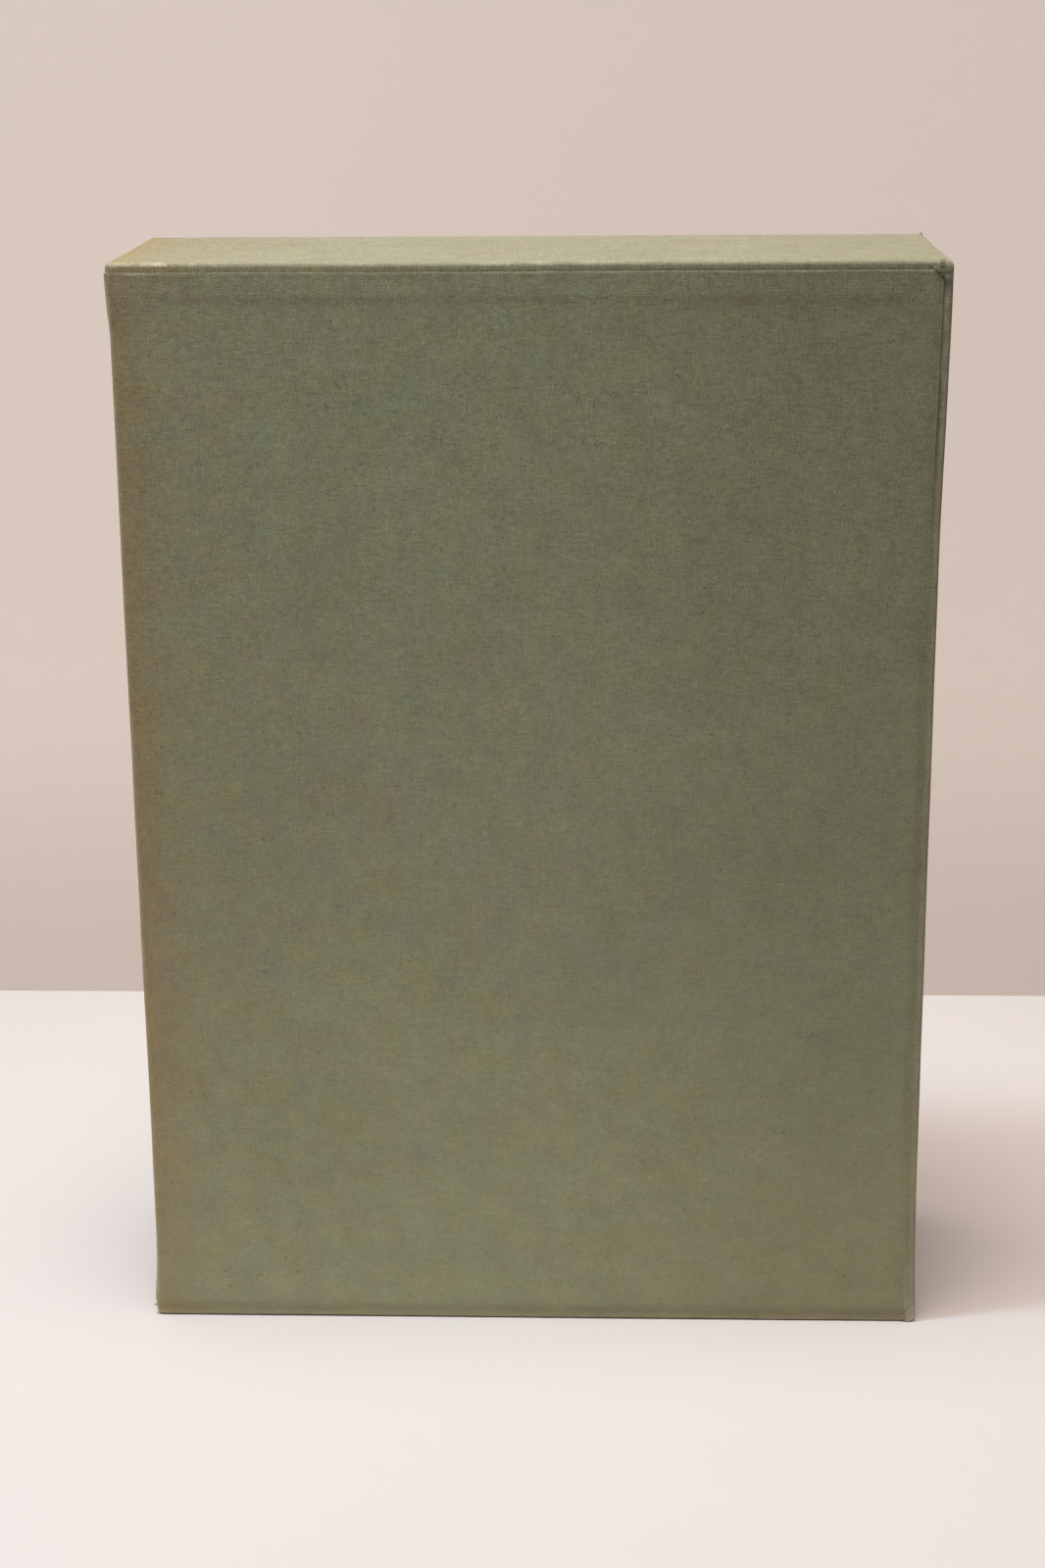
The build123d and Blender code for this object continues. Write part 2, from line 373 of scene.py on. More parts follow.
def mottle_group():
    """Unevenness of the dye: clouds, streaks along the threads, patches of hue, and specks."""
    inputs = {"Place": "Vector", "Threads": "Vector"}
    outputs = {"Clouds": "Float", "Streaks": "Float", "Hue": "Float", "Grey": "Float", "Specks": "Float"}
    table, given, result = new_group("Cloth mottle", inputs, outputs)
    wide = table.noise(given["Place"], WIDE_CLOUDS, 3.0, 0.55)
    close = table.noise(given["Place"], CLOSE_CLOUDS, 3.0, 0.6)
    table.feed(result["Clouds"], table.line(close, 0.6, table.times(wide, 0.4)))
    both_ways = [
        table.noise(table.vector("MULTIPLY", given["Threads"], waves), 1, 2.0, 0.6)
        for waves in (STREAKS_IN_WEFT, STREAKS_IN_WARP)
    ]
    table.feed(result["Streaks"], table.times(table.plus(*both_ways), 0.5))
    table.feed(result["Hue"], table.noise(given["Place"], HUE_PATCHES, 4.0, 0.68))
    elsewhere = table.vector("ADD", given["Place"], (0.3, 0.7, 0.5))
    table.feed(result["Grey"], table.noise(elsewhere, GREY_PATCHES, 4.0, 0.68))
    grain = table.noise(given["Place"], SPECKS, 1.0, 0.5)
    scatter = table.noise(given["Place"], SPECK_GROUPS, 1.0, 0.5)
    specks = table.times(table.ramp(grain, 0.66, 0.74), table.ramp(scatter, 0.5, 0.62))
    table.feed(result["Specks"], specks)


def wear_group():
    """Breaks a smooth rub measure into the threads that take it first."""
    inputs = {"Place": "Vector", "Rubbing": "Float", "Height": "Float"}
    table, given, result = new_group("Rubbed threads", inputs, {"Bare": "Float", "Soiled": "Float"})
    patches = table.noise(given["Place"], RUBBED_PATCHES, 3.0, 0.65)
    stretches = table.noise(given["Place"], RUBBED_STRETCHES, 2.0, 0.5)
    patchy = table.times(table.ramp(patches, 0.36, 0.62), table.ramp(stretches, 0.3, 0.62))
    threads = table.line(given["Height"], 0.5, 0.6)
    worn = table.times(given["Rubbing"], table.line(patchy, 0.4, 0.6))
    table.feed(result["Bare"], table.times(worn, threads, clamp=True))
    halo = table.times(given["Rubbing"], table.minus(1.0, patchy))
    table.feed(result["Soiled"], table.times(halo, 0.5, clamp=True))


def new_material(name):
    """A material holding one Principled shader, as a table and that shader's inputs."""
    made = bpy.data.materials.new(name)
    made.use_nodes = True
    made.node_tree.nodes.clear()
    table = NodeTable(made.node_tree)
    shader = table.add("ShaderNodeBsdfPrincipled")
    table.add("ShaderNodeOutputMaterial", {"Surface": shader.outputs["BSDF"]})
    return made, table, shader.inputs


def cloth_dye(table, mottle, spine_grey):
    """The cloth's colour before its threads are shaded: dyed unevenly, greyer towards the spine, faded and
    toned.
    """
    colours = settings().colours
    patches = table.ramp(mottle["Hue"], 0.36, 0.64)
    greener = table.mix(patches, colours.cloth_green, colours.cloth_cool)
    greyer = table.ramp(mottle["Grey"], 0.43, 0.64, end=0.75)
    mixed = table.mix(greyer, greener, colours.cloth_grey)
    spine_greyed = table.mix(table.times(spine_grey, 0.8), mixed, colours.cloth_spine_grey)
    faded = table.mix(table.attribute("fading"), spine_greyed, colours.cloth_faded)
    browned = table.line(table.minus(mottle["Hue"], 0.5), -0.36, table.attribute("toning"))
    toned = table.mix(table.times(browned, 1.0, clamp=True), faded, colours.cloth_brown)
    return table.mix(table.attribute("stain"), toned, colours.stain)


def thread_shade(table, mottle, weave, spine_grey, fuzz, grazing_light_contrast):
    """How light each thread is, round 1: clouds, streaks, darker towards the spine, painted light towards
    the tail, and the weave's own relief, painted as shade in its gaps and as uneven threads.
    """
    clouds = table.line(mottle["Clouds"], 0.46, 0.77)
    streaks = table.line(mottle["Streaks"], 0.12, 0.94)
    # Darker towards the spine, less so at the tail
    spine_darkened = table.line(spine_grey, -0.12, 1.03)
    # Painted light: the cloth is made lighter towards the tail and darker towards the head, standing in for
    # light off the floor
    light_level_by_height = table.ramp(table.attribute("tail_to_head"), 0.0, 0.6, 1.09, 0.97)
    soft_shade = table.times(table.times(clouds, streaks), table.times(spine_darkened, light_level_by_height))
    # Painted shade: the weave's gaps are coloured darker and its thread tops lighter
    depth = table.line(weave["Height"], 0.18, 0.9)
    contrast = table.line(weave["Weft"], 0.5, 0.9)
    off_fuzz = table.times(table.minus(fuzz, 0.5), 0.25)
    uneven = table.line(table.minus(weave["Shade"], 0.5), contrast, off_fuzz)
    return table.times(soft_shade, table.times(depth, table.line(uneven, grazing_light_contrast, 1.0)))


def book_cloth():
    """The woven cover: dyed threads, clouds and toning, rubbed edges and dark seam lines, with painted
    shade on the spine's edges and in the weave's gaps, a painted highlight under the side cloths' top cut
    edges, painted light towards the tail, and painted thread contrast towards the head.
    """
    colours = settings().colours
    made, table, surface = new_material("book_cloth")
    place = table.place()
    threads = table.add("ShaderNodeUVMap", uv_map="threads").outputs[0]
    pitch = settings().sizes.thread_pitch
    weave = table.group("Plain weave", {"Threads": threads, "Pitch": pitch, "Waver": 1.6})
    mottle = table.group("Cloth mottle", {"Place": place, "Threads": threads})
    # The rub measure also holds the painted highlight under the side cloths' top cut edges
    rubbed = {"Place": place, "Rubbing": table.attribute("rubbing_and_rim_highlight"), "Height": weave["Height"]}
    wear = table.group("Rubbed threads", rubbed)
    spine_grey = table.attribute("greyer_to_spine")
    fuzz = table.noise(place, THREAD_FUZZ, 1.0, 0.5)
    # Painted light: the threads' colour contrast grows from tail to head, standing in for grazing light
    # from above that picks out the weave; the bump's strength grows with it
    grazing_light_contrast = table.line(table.attribute("tail_to_head"), 0.64, 0.38)
    shade = thread_shade(table, mottle, weave, spine_grey, fuzz, grazing_light_contrast)
    shaded = table.shaded(cloth_dye(table, mottle, spine_grey), shade)
    # Rubbed threads turn pale; this mix also gives the painted highlight under the side cloths' top cut
    # edges
    bare = table.mix(wear["Bare"], shaded, colours.cloth_pale)
    # Dark seam lines and specks, with the painted shade on the spine's edges
    seam_marks_and_shade = table.most(table.attribute("seam_lines_and_edge_shade"), table.times(mottle["Specks"], 0.3))
    darkened = table.mix(table.most(seam_marks_and_shade, wear["Soiled"]), bare, colours.cloth_dark)
    raised = table.times(weave["Height"], table.plus(weave["Shade"], 0.4))
    relief = table.line(fuzz, 0.4, raised)
    table.feed_all(surface, {
        "Base Color": darkened, "Roughness": table.line(fuzz, 0.12, 0.8),
        "Normal": table.bump(relief, table.times(grazing_light_contrast, 0.7), 0.2 * MM),
        "Specular IOR Level": 0.3, "Sheen Weight": 0.06, "Sheen Roughness": 0.5,
    })
    return made


def raw_edge():
    """The side of a cut sheet: pale ends of threads between darker ones."""
    colours = settings().colours
    made, table, surface = new_material("raw_cloth_edge")
    ends = table.noise(table.place(), CUT_ENDS, 1.0, 0.5)
    # The cut ends are paler towards the head
    paler_to_head = table.line(table.attribute("tail_to_head"), 0.85, 0.15)
    bare_ends = table.times(table.ramp(ends, 0.35, 0.6), paler_to_head)
    pale = table.mix(bare_ends, colours.cloth_green, colours.raw_edge)
    table.feed_all(surface, {
        "Base Color": pale, "Roughness": table.line(ends, 0.1, 0.85),
        "Normal": table.bump(ends, 0.5, 0.1 * MM),
    })
    return made


def pulp_board():
    """Grey board: pressed pulp with darker fibres and specks."""
    colours = settings().colours
    made, table, surface = new_material("grey_board")
    place = table.place()
    pulp = table.noise(place, BOARD_PULP, 4.0, 0.7)
    fibres = table.noise(table.vector("MULTIPLY", place, BOARD_FIBRES), 1, 2.0, 0.6)
    pale = tuple(min(1.0, part * 1.25) for part in colours.board)
    mixed = table.mix(table.ramp(pulp, 0.3, 0.7), colours.board, pale)
    specked = table.mix(table.ramp(fibres, 0.66, 0.74), mixed, colours.cloth_dark)
    table.feed_all(surface, {
        "Base Color": specked, "Roughness": table.line(pulp, 0.1, 0.86),
        "Normal": table.bump(pulp, 0.4, 0.1 * MM),
    })
    return made


def lining_paper():
    """Lining paper: laid lines, glue cockle, foxing, and browning towards the mouth."""
    colours = settings().colours
    made, table, surface = new_material("lining_paper")
    place = table.place()
    parts = table.split(place)
    laid = table.math("SINE", table.times(parts["Z"], 2 * math.pi * LAID_LINES))
    fibres = table.noise(place, PAPER_FIBRES, 4.0, 0.65)
    cockle = table.noise(place, PAPER_COCKLE, 2.0, 0.5)
    from_mouth = table.plus(parts["X"], case_half.x)
    browning = table.ramp(from_mouth, 0.0, 90 * MM, 0.75, 0.12)
    patchy = table.times(browning, table.line(cockle, 0.9, 0.55), clamp=True)
    toned = table.mix(patchy, colours.paper, colours.paper_toned)
    foxing = table.ramp(table.noise(place, PAPER_FOXING, 2.0, 0.5), 0.68, 0.78, end=0.5)
    foxed = table.mix(foxing, toned, colours.stain)
    relief = table.line(laid, 0.04, table.line(cockle, 4.0, fibres))
    table.feed_all(surface, {
        "Base Color": table.shaded(foxed, table.line(fibres, 0.14, 0.92)),
        "Roughness": table.line(fibres, 0.15, 0.75), "Normal": table.bump(relief, 0.35, 0.12 * MM),
    })
    return made


# Measures that rise and fall with place

def smooth(value):
    """0 below 0, 1 above 1, and eased in between."""
    value = min(max(value, 0.0), 1.0)
    return value * value * (3 - 2 * value)


def eased(place, start, width):
    """0 up to the start and 1 past the width, eased in between. A minus width goes down."""
    return smooth((place - start) / width)


def bell(distance, width):
    """1 at no distance, falling away smoothly over a width."""
    return math.exp(-((distance / width) ** 2))


def gaps_to_faces(point):
    """How far a point is inside the case's outer faces, by axis."""
    return [case_half[i] - abs(point[i] - case_middle[i]) for i in range(3)]


def noise_vector(point):
    """Smooth noise along each axis. Unlike Blender's own, it is the same in each run."""
    axis_gap = Vector((17.3, 5.1, 9.7))
    return Vector([noise.noise(point + axis_gap * axis) for axis in range(3)])


def stray(point, size, seed):
    """A smooth random vector with features of a size."""
    return noise_vector(point / size + Vector((seed, 2.7 * seed, 0.3)))


# Folding a flat sheet round the boards

class FoldLine:
    """A line over the boards that turns left at each corner, with the sheet on its right.

    It is made of straight runs and round corners, laid end to end. A corner's length is the
    sheet's own as it goes round, so that the threads keep their spacing."""

    def __init__(self, points, radii):
        self.pieces = []
        self.fences = [0.0]
        start = Vector(points[0])
        for index, radius in enumerate((*radii, None)):
            corner = Vector(points[index + 1])
            ahead = (corner - start).normalized()
            stop = corner if radius is None else corner - ahead * radius
            before = radii[index - 1] if index else 0
            self.pieces.append(("run", (stop - start).length, start, ahead, before, radius or 0))
            if radius is not None:
                bend = (radius + cloth) * RIGHT_ANGLE
                self.pieces.append(("corner", bend, corner, ahead, radius, radius))
                start = corner + Vector((-ahead.y, ahead.x)) * radius
        for piece in self.pieces:
            self.fences.append(self.fences[-1] + piece[1])

    def at(self, distance, lift):
        """The point so far along, lifted off the boards. A negative lift goes in behind the
        corners, where the sheets that come over two edges meet in a mitre."""
        rounding = 1e-9
        index = max(i for i, fence in enumerate(self.fences[:-1]) if i == 0 or distance >= fence - rounding)
        kind, size, place, ahead, before, after = self.pieces[index]
        left = Vector((-ahead.y, ahead.x))
        along = distance - self.fences[index]
        if kind == "corner":
            if -lift >= before > 0:
                return place - (left - ahead) * lift
            centre = place + (left - ahead) * before
            angle = RIGHT_ANGLE * along / size
            outward = ahead * math.sin(angle) - left * math.cos(angle)
            return centre + outward * (before + lift)
        if after and size - along + after < -lift:
            return place + ahead * (size + after) - (left - ahead) * lift
        if before and along + before < -lift:
            return place - ahead * before - (left + ahead) * lift
        return place + ahead * along - left * lift


def mesh_lines(fences, fine, coarse):
    """Where a sheet's mesh lines run: on every fence, close together there and wider between."""
    growth = 1.3
    lines = [fences[0]]
    for low, high in zip(fences, fences[1:]):
        half, step, steps = (high - low) / 2, fine, [0.0]
        while steps[-1] < half - fine / 4:
            steps.append(steps[-1] + step)
            step = min(step * growth, coarse)
        steps = [value * half / steps[-1] for value in steps] if len(steps) > 1 else [0.0, half]
        lines += [low + value for value in steps[1:]]
        lines += [high - value for value in reversed(steps[:-1])]
    return lines


def select_none():
    bpy.ops.object.select_all(action="DESELECT")


def select_only(piece):
    select_none()
    piece.select_set(True)
    bpy.context.view_layer.objects.active = piece


def edit(piece, action, step, **choices):
    """Takes one step in edit mode, with all of a mesh or none of it selected first."""
    select_only(piece)
    bpy.ops.object.mode_set(mode="EDIT")
    bpy.ops.mesh.select_all(action=action)
    step(**choices)
    bpy.ops.object.mode_set(mode="OBJECT")


def flat_sheet(name, across, along):
    """A flat mesh whose lines run at the given places."""
    select_none()
    counts = {"x_subdivisions": len(across) - 1, "y_subdivisions": len(along) - 1}
    bpy.ops.mesh.primitive_grid_add(size=1, calc_uvs=False, **counts)
    sheet = bpy.context.object
    sheet.name = sheet.data.name = name
    columns = np.linspace(-0.5, 0.5, len(across))
    rows = np.linspace(-0.5, 0.5, len(along))
    for vertex in sheet.data.vertices:
        vertex.co.x = np.interp(vertex.co.x, columns, across)
        vertex.co.y = np.interp(vertex.co.y, rows, along)
    return sheet


def cut(sheet, place, outward):
    """Cuts off what lies past a straight line on the flat sheet."""
    line = {"plane_co": (*place, 0), "plane_no": (*outward, 0)}
    edit(sheet, "SELECT", bpy.ops.mesh.bisect, clear_outer=True, **line)


def merge_points(piece, distance):
    edit(piece, "SELECT", bpy.ops.mesh.remove_doubles, threshold=distance)


def remove_faces(piece, unwanted):
    """Deletes the faces whose middle passes the test."""
    edit(piece, "DESELECT", bpy.ops.mesh.select_mode, type="FACE")
    for face in piece.data.polygons:
        face.select = unwanted(face.center)
    bpy.ops.object.mode_set(mode="EDIT")
    bpy.ops.mesh.delete(type="FACE")
    bpy.ops.object.mode_set(mode="OBJECT")


def keep_threads(sheet):
    """Keeps each point's place on the flat cloth, in metres, for the weave to follow."""
    threads = sheet.data.uv_layers.new(name="threads")
    for loop in sheet.data.loops:
        threads.data[loop.index].uv = sheet.data.vertices[loop.vertex_index].co.xy


def paint(piece, name, measure):
    """Writes a value for each vertex of a piece, which its material reads."""
    layer = piece.data.attributes.new(name, "FLOAT", "POINT")
    for vertex, value in zip(piece.data.vertices, layer.data):
        value.value = measure(vertex.co)


def thicken(piece):
    """Gives a folded sheet its thickness, on the boards' side of it."""
    select_only(piece)
    wall = piece.modifiers.new("thickness", "SOLIDIFY")
    wall.thickness = cloth
    wall.offset = -1
    wall.material_offset_rim = 1
    bpy.ops.object.modifier_apply(modifier=wall.name)
    bpy.ops.object.shade_smooth_by_angle(angle=SMOOTH_BELOW)


def mirrored_copy(piece, name):
    """The same piece for the other side of the case, with a mesh of its own."""
    copied = piece.copy()
    copied.data = piece.data.copy()
    copied.name = copied.data.name = name
    bpy.context.collection.objects.link(copied)
    copied.data.transform(Matrix.Scale(-1, 4, (0, 1, 0)))
    copied.data.flip_normals()
    return copied


def settle(point):
    """Moves a point of the covering as use has: corners spread, edges stray and dent."""
    edge_width, wander_wave, dent_wave, least_dent = 3 * MM, 23 * MM, 7 * MM, 0.25
    wear = settings().wear
    near_spine = smooth((point.x - spine_x) / wear.edge_reach + 1)
    near_mouth = smooth((mouth_x - point.x) / wear.edge_reach + 1)
    near_tail = 1 - smooth((point.z - case_low.z) / wear.tail_flare_height)
    near_head = smooth((point.z - case_high.z) / wear.mouth_flare_height + 1)
    by_head = wear.head_flare * smooth((point.z - case_high.z) / wear.head_flare_height + 1)
    by_foot = wear.foot_flare * math.exp(-point.z / wear.foot_flare_height)
    moved = point.copy()
    moved.x += near_spine * (by_head + by_foot)
    moved.x -= near_mouth * (wear.tail_flare * near_tail**1.5 + wear.mouth_flare * near_head)
    edge = bell(sorted(gaps_to_faces(point))[1], edge_width)
    moved += stray(point, wander_wave, 1) * wear.wander * (0.3 + 0.7 * edge)
    knock = max(0.0, noise.noise(point / dent_wave) - least_dent) * edge
    inward = (case_middle - point).normalized()
    inward.x *= 0.3
    moved += inward * knock * wear.dents
    moved.z = max(moved.z, case_low.z)
    return moved


# Where the cloth is worn and dirty, and where painted light and shade fall on it, from 0 to 1

# Rusty marks on the front, each with its x, z and size
RUSTY_MARKS = ((54 * MM, 281 * MM, 3.2 * MM), (91 * MM, 281 * MM, 2.2 * MM), (70 * MM, 266 * MM, 2 * MM))

# Frayed spots of the spine seam, each with its height, its size and how bare it is
FRAYED_SPOTS = ((279 * MM, 4 * MM, 0.8), (266 * MM, 2.5 * MM, 0.7))


def seam_shows(height):
    """How plainly a side cloth's cut edge shows along the spine: most at the head."""
    by_head = 0.78 * eased(height, 205 * MM, 50 * MM)
    by_foot = 0.4 * eased(height, 45 * MM, -30 * MM)
    return 0.12 + by_head + by_foot


def ridge_rubbing(point, from_side, from_head):
    """How bare the head's long edges are: most towards the mouth, least by the spine."""
    on_head, ridge_in, ridge_width = 0.7 * MM, 0.4 * MM, 0.9 * MM
    if point.z <= case_middle.z or from_head >= on_head:
        return 0.0
    past_mouth_half = eased(point.x, -60 * MM, 75 * MM)
    past_middle = eased(point.x, 0, 40 * MM)
    return (0.85 - 0.35 * past_mouth_half - 0.25 * past_middle) * bell(from_side - ridge_in, ridge_width)


def spine_rubbing(point, from_end, from_side, edge):
    """How bare the threads are by the spine seam, and how much of the edge's own rub that leaves.

    There is a line beside the seam, a scuff by the tail and two frayed spots by the head."""
    beside_seam, round_edge = 0.9 * MM, 3 * MM
    line_in, line_width = 1.1 * MM, 0.4 * MM
    scuff_in, scuff_width = 2.3 * MM, 0.6 * MM
    fray_in, fray_width = 1.6 * MM, 0.6 * MM
    line = 0.0
    if point.x > 0 and from_side < beside_seam:
        line = 0.7 * seam_shows(point.z) * bell(from_end - line_in, line_width)
        scuff = 0.5 * eased(point.z, 30 * MM, -15 * MM) * bell(from_end - scuff_in, scuff_width)
        line = max(line, scuff)
    if point.x > 0 and from_end < round_edge:
        by_head = eased(point.z, 170 * MM, 80 * MM)
        line, edge = line * (1 - 0.6 * by_head), edge * (1 - 0.3 * by_head)
        frayed = max(bare * bell(point.z - height, size) for height, size, bare in FRAYED_SPOTS)
        if from_side < beside_seam:
            line = max(line, frayed * bell(from_end - fray_in, fray_width))
    return line, edge


def rubbing_and_rim_highlight(point):
    """How much an edge or corner of the case is rubbed, from its place, with a painted highlight just under
    each side cloth's top cut edge.
    """
    wear = settings().wear
    from_end, from_side, from_head = gaps_to_faces(point)
    _, next_nearest, farthest = sorted((from_end, from_side, from_head))
    corner = 0.5 * bell(farthest, wear.corner_rub) * bell(next_nearest, 2 * wear.rub_width)
    edge = 0.55 * bell(next_nearest, wear.rub_width)
    line, edge = spine_rubbing(point, from_end, from_side, edge)
    ridge = ridge_rubbing(point, from_side, from_head)
    lip = rim_highlight = 0.0
    if point.x < mouth_x + MM:
        lip = 0.35 * bell(abs(point.y) + lined_y + cloth / 2, wear.rub_width)
    # Partly pale cut threads and partly a painted highlight: a pale line just under the side cloth's top
    # cut edge, where it would catch light from above
    if from_side < 0.2 * MM:
        by_mouth = eased(point.x, -60 * MM, -30 * MM)
        rim_highlight = (0.75 + 0.5 * by_mouth) * bell(side_high.z - point.z, 0.35 * MM)
    return min(1.0, max(edge + corner, ridge) + lip + line + rim_highlight)


def toning(point):
    """How much air and handling have browned the cloth: most at the mouth, less at the spine."""
    from_mouth = point.x - mouth_x
    mouth_band = 0.75 * math.exp(-from_mouth / (7 * MM)) + 0.22 * math.exp(-from_mouth / (35 * MM))
    mouth_band *= 1 - 0.35 * eased(point.z, 70 * MM, -60 * MM)
    spine = 0.1 * bell(strip_high.x - point.x, 3 * MM)
    tail = 0.25 * bell(point.z, 3 * MM)
    to_mouth = eased(point.x, 10 * MM, -90 * MM)
    on_band = eased(point.z, side_high.z, 0.5 * MM) * eased(point.z, strip_high.z, -MM)
    foot = 0.2 * eased(point.z, 90 * MM, -80 * MM) * eased(point.x, -20 * MM, 90 * MM)
    return min(1.0, mouth_band + spine + tail + 0.3 * to_mouth * on_band + foot)


def fading(point):
    """How much light from above has bleached the cloth: the head, and a little of its edges."""
    from_head = strip_high.z - point.z
    on_head = smooth(1 - from_head / (0.9 * MM))
    below = smooth(1 - from_head / (4.5 * MM)) * smooth(from_head / MM)
    return on_head + 0.4 * below


def greyer_to_spine(point):
    """How much greyer and darker the cloth is made: most towards the spine, less at the tail, and none on
    the head.
    """
    to_spine = eased(point.x, -10 * MM, 100 * MM)
    to_tail = eased(point.z, 150 * MM, -110 * MM)
    on_head = smooth(1 - (strip_high.z - point.z) / (0.9 * MM))
    return (0.25 + 0.75 * to_spine * (1 - 0.1 * to_tail)) * (1 - on_head)


def tail_to_head(point):
    """A ramp from tail to head: least at the tail, most at the head. It sets the painted light towards the
    tail, the painted thread contrast and how pale the cut ends are.
    """
    return smooth(0.12 + 0.88 * point.z / case_high.z)


def stain(point):
    """How strongly the rusty marks below the head show. They are wider than they are high."""
    if point.y > front_y:
        return 0.0
    strongest, flatness = 0.3, 1.6
    total = 0.0
    for x, z, size in RUSTY_MARKS:
        total += bell(math.hypot(point.x - x, flatness * (point.z - z)), size)
    return min(strongest, strongest * total)


def strip_seams_and_edge_shade(point):
    """Dark lines on the strip along the cut edges of the side cloths, and painted shade on the spine's
    edges.
    """
    seam_width, clip_width, patch_size = 0.4 * MM, 0.9 * MM, 18 * MM
    from_end, from_side, _ = gaps_to_faces(point)
    # Painted shade: the strip is darkened on the spine's rounded vertical edges.
    painted_edge_shade = 0.5 * bell(from_end, 0.55 * MM) * bell(from_side, 1.5 * MM) if point.x > 0 else 0.0
    if abs(point.y) < abs(front_y) - MM:
        return painted_edge_shade
    past_head, past_tail = point.z - side_high.z, side_low.z - point.z
    past_spine = point.x - side_high.x
    past_clip = (past_head + past_spine + settings().sizes.head_clip) / math.sqrt(2)
    at_clip = bell(max(past_head, 0.0), clip_width) * bell(max(past_spine, 0.0), clip_width)
    at_head = 1 - 0.75 * eased(point.x, -15 * MM, -60 * MM)
    at_spine = seam_shows(point.z)
    seams = ((past_head, at_head), (past_tail, 0.15), (past_spine, at_spine), (past_clip, at_clip))
    shown = [shows * bell(max(past, 0.0), seam_width) for past, shows in seams if past > -MM]
    patch = 0.5 + 0.5 * noise.noise(point / patch_size)
    return max(painted_edge_shade, (0.35 + 0.5 * patch) * max(shown, default=0.0))


def side_dirt(point):
    """Dirt on a side cloth, just inside its own cut edges."""
    if abs(point.y) < abs(front_y):
        return 0.0
    line_in, line_width, patch_size = 0.9 * MM, 0.7 * MM, 14 * MM
    from_cut = min(point.z - side_low.z, side_high.z - point.z, side_high.x - point.x)
    patch = 0.5 + 0.5 * noise.noise(point / patch_size)
    return 0.12 * patch * bell(from_cut - line_in, line_width)


def finish_cloth(piece, seam_marks_and_shade):
    """Paints, settles and thickens a folded sheet."""
    measures = {
        "rubbing_and_rim_highlight": rubbing_and_rim_highlight, "toning": toning, "fading": fading,
        "greyer_to_spine": greyer_to_spine, "tail_to_head": tail_to_head, "stain": stain, "seam_lines_and_edge_shade": seam_marks_and_shade,
    }
    for name, measure in measures.items():
        paint(piece, name, measure)
    for vertex in piece.data.vertices:
        vertex.co = settle(vertex.co)
    for name in ("book_cloth", "raw_cloth_edge"):
        piece.data.materials.append(bpy.data.materials[name])
    thicken(piece)


# The edge strip

def strip_lines():
    """The strip's way round the boards' edges, and its way across from side to side."""
    sizes = settings().sizes
    inside_x = mouth_x + sizes.strip_turn_in
    tail = [(inside_x, floor_z), (mouth_x, floor_z), (mouth_x, tail_z), (spine_x, tail_z)]
    head = [(spine_x, head_z), (mouth_x, head_z), (mouth_x, ceiling_z), (inside_x, ceiling_z)]
    corner = sizes.corner_radius
    outline = FoldLine(tail + head, (0, corner, corner, sizes.head_radius, sizes.mouth_radius, 0))
    depth = sizes.turn_over - cloth
    over = [(front_y, depth), (front_y, 0), (-front_y, 0), (-front_y, depth)]
    return outline, FoldLine(over, (sizes.edge_radius,) * 2)


def cut_tuck(tuck, corner, reach):
    """Cuts a tuck's flat square to the case's rounded corner and to the side cloth's clip."""
    sizes = settings().sizes
    slight_slant, steep_slant = (0.12, 1), (0.8, -0.6)
    cut(tuck, (reach, 0), (1, 1))
    cut(tuck, (0, sizes.tuck_depth), slight_slant)
    cut(tuck, (0.5 * reach, 0), steep_slant)
    cut(tuck, (sizes.tuck_edge, 0), (-1, 0))
    cut(tuck, (0, sizes.tuck_edge), (0, -1))
    for degrees in (22.5, 45, 67.5):
        outward = (-math.cos(math.radians(degrees)), -math.sin(math.radians(degrees)))
        cut(tuck, [corner + part * (corner - sizes.tuck_edge) for part in outward], outward)


def corner_tuck(name, top):
    """The spare cloth of the strip, folded flat over a spine corner on the front side."""
    sizes = settings().sizes
    clip = sizes.head_clip if top else sizes.tail_clip
    corner = (sizes.head_radius if top else sizes.corner_radius) + cloth
    lift = 2 * cloth if top else 1.1 * cloth
    reach = 2 * (strip_high.x - side_high.x) + clip - sizes.tuck_gap * math.sqrt(2)
    lines = mesh_lines([0.0, reach], sizes.fine, sizes.fine)
    tuck = flat_sheet(name, lines, lines)
    cut_tuck(tuck, corner, reach)
    keep_threads(tuck)
    round_edge = sizes.edge_radius + lift
    for vertex in tuck.data.vertices:
        from_spine, from_end = vertex.co.x, vertex.co.y
        in_x, in_z = max(corner - from_spine, 0.0), max(corner - from_end, 0.0)
        inside = corner - math.hypot(in_x, in_z) if in_x and in_z else min(from_spine, from_end)
        fall = max(round_edge - inside, 0.0)
        drop = round_edge - math.sqrt(max(round_edge**2 - min(fall, round_edge) ** 2, 0.0))
        end_z = strip_high.z - from_end if top else strip_low.z + from_end
        vertex.co = (strip_high.x - from_spine, front_y - lift + drop, end_z)
    if top:
        tuck.data.flip_normals()
    return tuck


